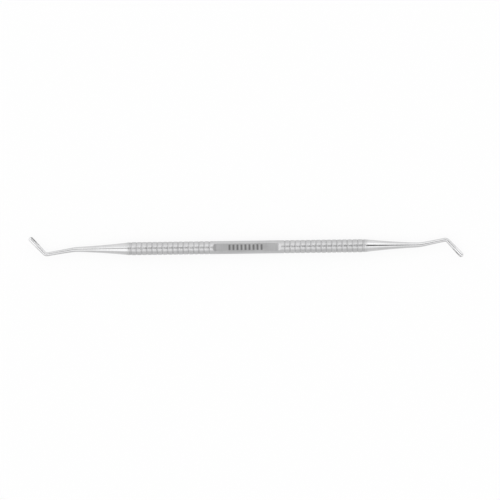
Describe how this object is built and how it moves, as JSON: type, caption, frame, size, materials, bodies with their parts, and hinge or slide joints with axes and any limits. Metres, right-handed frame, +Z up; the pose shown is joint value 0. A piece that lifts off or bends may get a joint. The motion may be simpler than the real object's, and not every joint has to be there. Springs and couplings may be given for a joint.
{
  "type": "pedicure curette",
  "caption": "Double-ended stainless steel pedicure curette: ring-grooved round handle, concave tapers, thin bent shanks and small spoon tips.",
  "frame": {"origin": "on the surface the instrument lies on, under the middle of the handle", "axes": "+X along the handle, +Y across it on the surface, +Z up, out of the milled marking flat"},
  "size_m": [0.1673, 0.0099, 0.005],
  "materials": {
    "steel": "satin"
  },
  "bodies": {
    "root": {"curette": "steel"}
  },
  "joints": []
}
